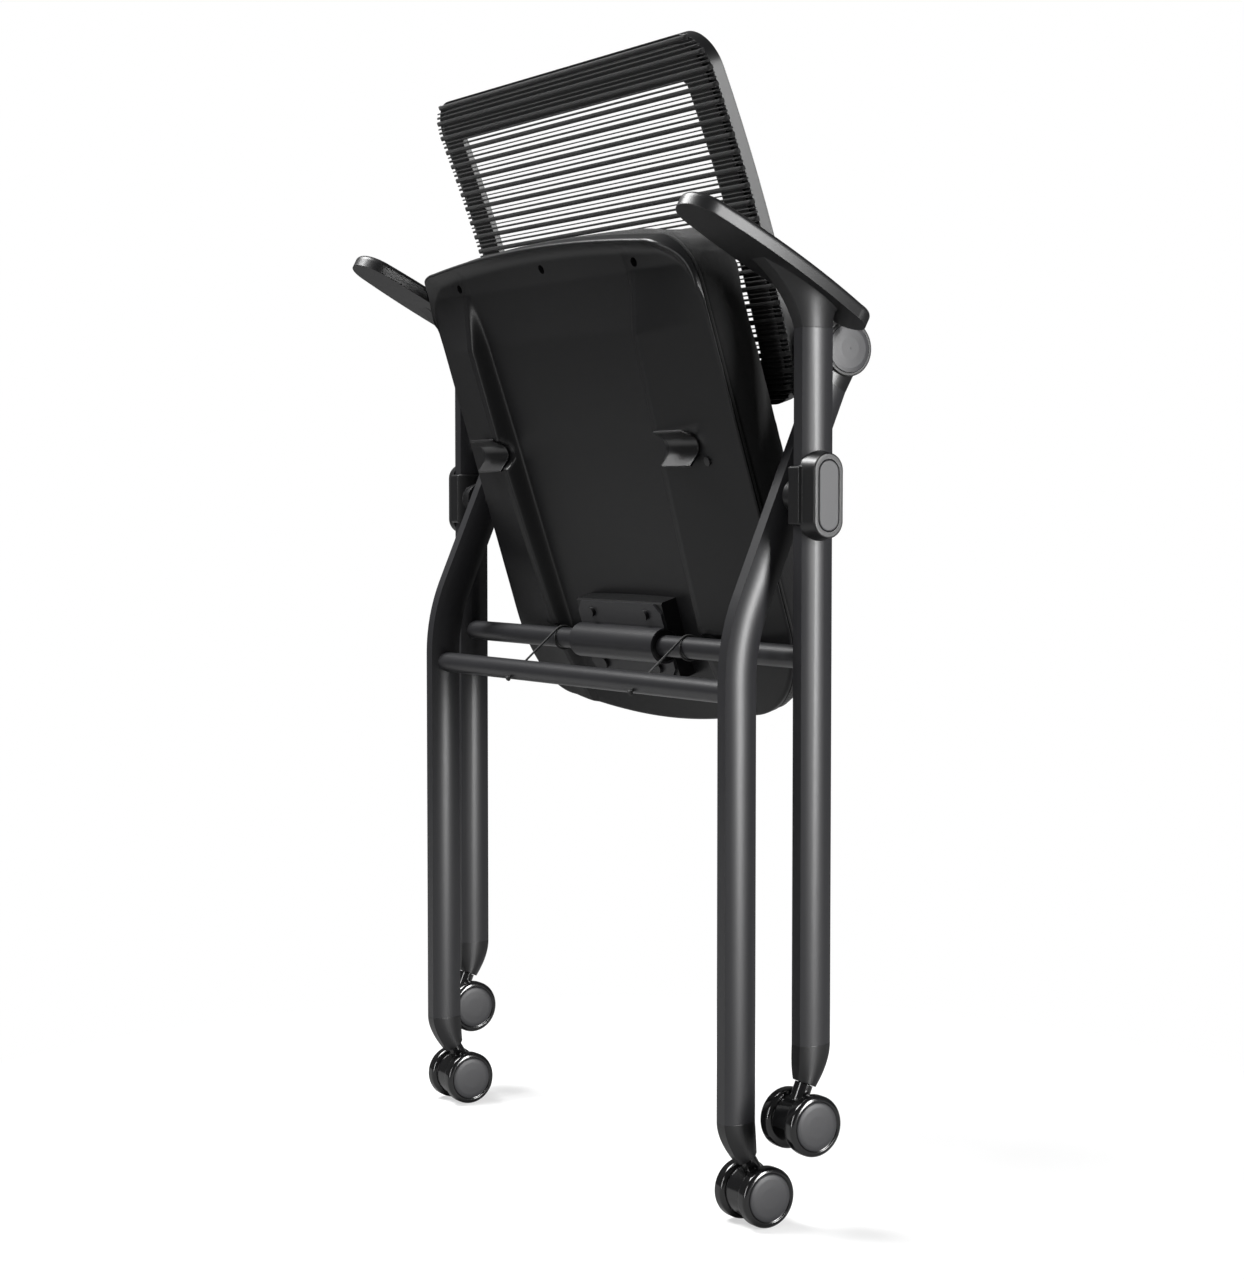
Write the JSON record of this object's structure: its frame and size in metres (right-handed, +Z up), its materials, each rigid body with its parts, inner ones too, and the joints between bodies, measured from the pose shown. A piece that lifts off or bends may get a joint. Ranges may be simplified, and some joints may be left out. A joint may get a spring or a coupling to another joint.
{
  "type": "nesting chair",
  "caption": "Folding chair on casters with a flip-up padded seat, arm pads and a ribbed mesh back, shown folded for nesting.",
  "frame": {"origin": "on the floor under the middle of the folded chair's outline", "axes": "+Z up, -Y towards the chair's front, +X to the right side seen in the picture"},
  "size_m": [0.6368, 0.2201, 0.9728],
  "materials": {
    "frame_paint": "satin black powder coat",
    "steel_fasteners": "zinc-plated",
    "wheel_plastic": "semi-gloss black",
    "cap_plastic": "fine matte",
    "bush_polymer": "smooth matte",
    "bush_rubber": "matte",
    "cord": "braided",
    "back_mesh": "ribbed knit",
    "seat_fabric": "woven",
    "seat_board": "raw plywood",
    "arm_plastic": "fine grain",
    "black_plastic": "fine matte grain"
  },
  "bodies": {
    "rear_frame": {"rear_cross_tube": "frame_paint", "pivot_bolts": "steel_fasteners", "rear_leg_right": "frame_paint", "rear_foot_right": "black_plastic", "pivot_housing_right": "black_plastic", "pivot_cap_right": "cap_plastic", "armrest_right": "arm_plastic", "return_cord_right": "cord", "rear_leg_left": "frame_paint", "rear_foot_left": "black_plastic", "pivot_housing_left": "black_plastic", "pivot_cap_left": "cap_plastic", "armrest_left": "arm_plastic", "return_cord_left": "cord"},
    "front_frame": {"front_cross_tube": "frame_paint", "front_leg_right": "frame_paint", "front_foot_right": "black_plastic", "pivot_bush_right": "bush_polymer", "back_hub_right": "black_plastic", "hub_cap_right": "cap_plastic", "back_bush_right": "bush_rubber", "front_leg_left": "frame_paint", "front_foot_left": "black_plastic", "pivot_bush_left": "bush_polymer", "back_hub_left": "black_plastic", "hub_cap_left": "cap_plastic", "back_bush_left": "bush_rubber"},
    "backrest": {"back_frame": "black_plastic", "back_mesh": "back_mesh", "back_pins": "steel_fasteners"},
    "seat": {"seat_pan": "black_plastic", "seat_board": "seat_board", "seat_cushion": "seat_fabric", "hinge_clamp": "frame_paint", "hinge_bush": "bush_polymer", "hinge_screws": "steel_fasteners", "seat_screws": "steel_fasteners", "saddle_right": "bush_polymer", "saddle_left": "bush_polymer"},
    "caster_front_right": {"caster_front_right_stem": "steel_fasteners", "caster_front_right_hood": "black_plastic", "caster_front_right_axle": "steel_fasteners"},
    "caster_front_right_inner_wheel": {"caster_front_right_inner_wheel": "wheel_plastic"},
    "caster_front_right_outer_wheel": {"caster_front_right_outer_wheel": "wheel_plastic"},
    "caster_front_left": {"caster_front_left_stem": "steel_fasteners", "caster_front_left_hood": "black_plastic", "caster_front_left_axle": "steel_fasteners"},
    "caster_front_left_inner_wheel": {"caster_front_left_inner_wheel": "wheel_plastic"},
    "caster_front_left_outer_wheel": {"caster_front_left_outer_wheel": "wheel_plastic"},
    "caster_rear_right": {"caster_rear_right_stem": "steel_fasteners", "caster_rear_right_hood": "black_plastic", "caster_rear_right_axle": "steel_fasteners"},
    "caster_rear_right_inner_wheel": {"caster_rear_right_inner_wheel": "wheel_plastic"},
    "caster_rear_right_outer_wheel": {"caster_rear_right_outer_wheel": "wheel_plastic"},
    "caster_rear_left": {"caster_rear_left_stem": "steel_fasteners", "caster_rear_left_hood": "black_plastic", "caster_rear_left_axle": "steel_fasteners"},
    "caster_rear_left_inner_wheel": {"caster_rear_left_inner_wheel": "wheel_plastic"},
    "caster_rear_left_outer_wheel": {"caster_rear_left_outer_wheel": "wheel_plastic"}
  },
  "joints": [
    {"name": "fold", "type": "hinge", "parent": "rear_frame", "child": "front_frame", "pos_m": [0, 0.0165, 0.59493], "axis": [-1, 0, 0], "range_deg": [0, 54.85], "deforming": ["return_cord_right", "return_cord_left"]},
    {"name": "seat_flip", "type": "hinge", "parent": "rear_frame", "child": "seat", "pos_m": [0, 0.0165, 0.46413], "axis": [1, 0, 0], "range_deg": [0, 46.8]},
    {"name": "back_recline", "type": "hinge", "parent": "front_frame", "child": "backrest", "pos_m": [0, 0.06834, 0.71589], "axis": [-1, 0, 0], "range_deg": [0, 8], "stiffness_Nm_per_rad": 90},
    {"name": "caster_front_right_swivel", "type": "hinge", "parent": "front_frame", "child": "caster_front_right", "pos_m": [0.2567, -0.0237, 0.05528], "axis": [0, -0.5225, 0.8526], "continuous": true},
    {"name": "caster_front_right_inner_wheel_spin", "type": "hinge", "parent": "caster_front_right", "child": "caster_front_right_inner_wheel", "pos_m": [0.2567, -0.0157, 0.025], "axis": [1, 0, 0], "continuous": true},
    {"name": "caster_front_right_outer_wheel_spin", "type": "hinge", "parent": "caster_front_right", "child": "caster_front_right_outer_wheel", "pos_m": [0.2567, -0.0157, 0.025], "axis": [1, 0, 0], "continuous": true},
    {"name": "caster_front_left_swivel", "type": "hinge", "parent": "front_frame", "child": "caster_front_left", "pos_m": [-0.2567, -0.0237, 0.05528], "axis": [0, -0.5225, 0.8526], "continuous": true},
    {"name": "caster_front_left_inner_wheel_spin", "type": "hinge", "parent": "caster_front_left", "child": "caster_front_left_inner_wheel", "pos_m": [-0.2567, -0.0157, 0.025], "axis": [1, 0, 0], "continuous": true},
    {"name": "caster_front_left_outer_wheel_spin", "type": "hinge", "parent": "caster_front_left", "child": "caster_front_left_outer_wheel", "pos_m": [-0.2567, -0.0157, 0.025], "axis": [1, 0, 0], "continuous": true},
    {"name": "caster_rear_right_swivel", "type": "hinge", "parent": "rear_frame", "child": "caster_rear_right", "pos_m": [0.2908, 0.01, 0.11893], "axis": [0, 0.3963, 0.9181], "range_deg": [-175, 40]},
    {"name": "caster_rear_right_inner_wheel_spin", "type": "hinge", "parent": "caster_rear_right", "child": "caster_rear_right_inner_wheel", "pos_m": [0.2908, 0.00637, 0.08782], "axis": [1, 0, 0], "continuous": true},
    {"name": "caster_rear_right_outer_wheel_spin", "type": "hinge", "parent": "caster_rear_right", "child": "caster_rear_right_outer_wheel", "pos_m": [0.2908, 0.00637, 0.08782], "axis": [1, 0, 0], "continuous": true},
    {"name": "caster_rear_left_swivel", "type": "hinge", "parent": "rear_frame", "child": "caster_rear_left", "pos_m": [-0.2908, 0.01, 0.11893], "axis": [0, 0.3963, 0.9181], "range_deg": [-40, 175]},
    {"name": "caster_rear_left_inner_wheel_spin", "type": "hinge", "parent": "caster_rear_left", "child": "caster_rear_left_inner_wheel", "pos_m": [-0.2908, 0.00637, 0.08782], "axis": [1, 0, 0], "continuous": true},
    {"name": "caster_rear_left_outer_wheel_spin", "type": "hinge", "parent": "caster_rear_left", "child": "caster_rear_left_outer_wheel", "pos_m": [-0.2908, 0.00637, 0.08782], "axis": [1, 0, 0], "continuous": true}
  ],
  "couplings": [
    {"joint": "seat_flip", "follows": "fold", "ratio": 0.85324}
  ]
}
